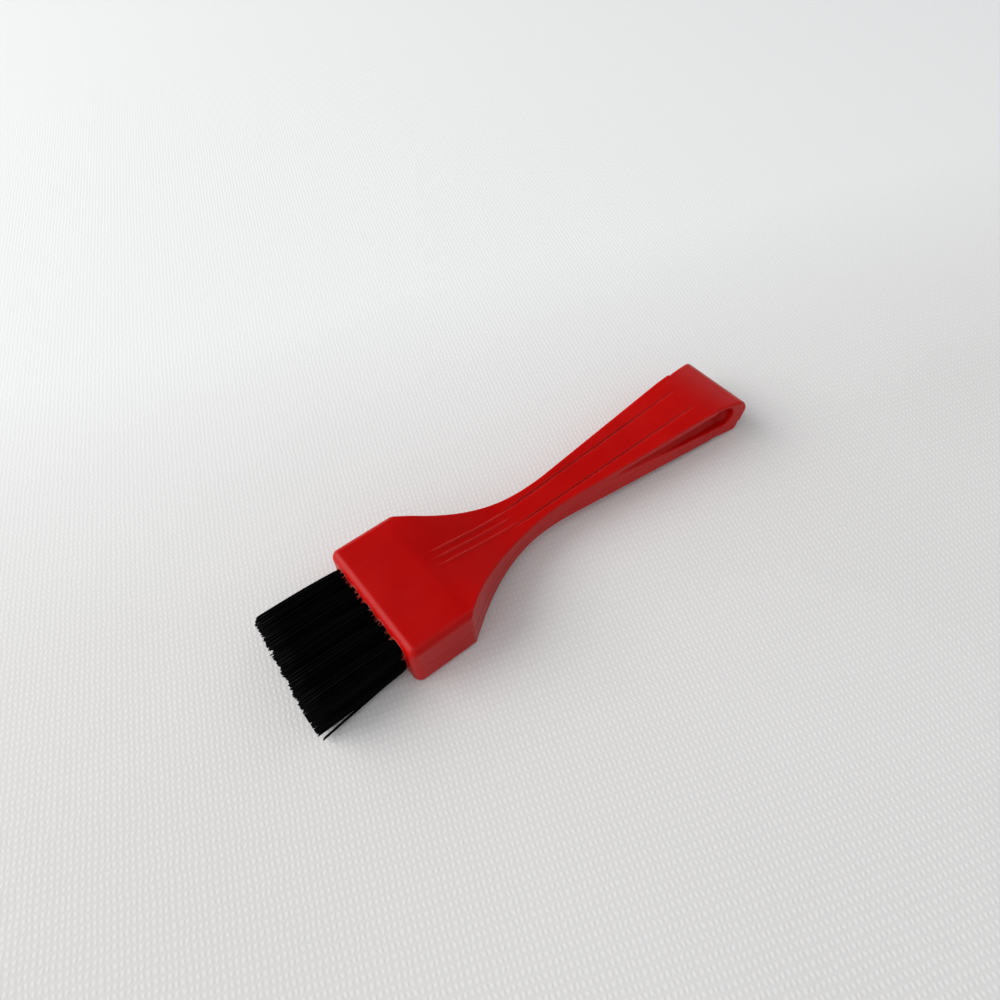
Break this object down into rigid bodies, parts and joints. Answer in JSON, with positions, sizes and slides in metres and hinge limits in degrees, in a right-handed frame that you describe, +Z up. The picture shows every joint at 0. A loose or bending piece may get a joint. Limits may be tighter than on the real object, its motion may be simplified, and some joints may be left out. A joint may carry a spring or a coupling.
{
  "type": "typewriter cleaning brush",
  "caption": "Small flat cleaning brush: a moulded plastic handle with a block head, slender neck and chisel end, and rows of stiff bristle tufts anchored in the head.",
  "frame": {"origin": "middle of the brush's length and width, on the plane of the head's flat underside", "axes": "+X from the bristle tips to the chisel end, +Y across the head along the rows of tufts, +Z up"},
  "size_m": [0.1034, 0.026, 0.0108],
  "materials": {
    "handle": "satin",
    "bristles": "satin",
    "anchor": "satin"
  },
  "bodies": {
    "root": {"handle": "handle", "tuft_lower_1": "bristles", "tuft_lower_2": "bristles", "tuft_lower_3": "bristles", "tuft_lower_4": "bristles", "tuft_lower_5": "bristles", "tuft_upper_1": "bristles", "tuft_upper_2": "bristles", "tuft_upper_3": "bristles", "tuft_upper_4": "bristles", "tuft_upper_5": "bristles", "anchor_lower_1": "anchor", "anchor_lower_2": "anchor", "anchor_lower_3": "anchor", "anchor_lower_4": "anchor", "anchor_lower_5": "anchor", "anchor_upper_1": "anchor", "anchor_upper_2": "anchor", "anchor_upper_3": "anchor", "anchor_upper_4": "anchor", "anchor_upper_5": "anchor"}
  },
  "joints": []
}
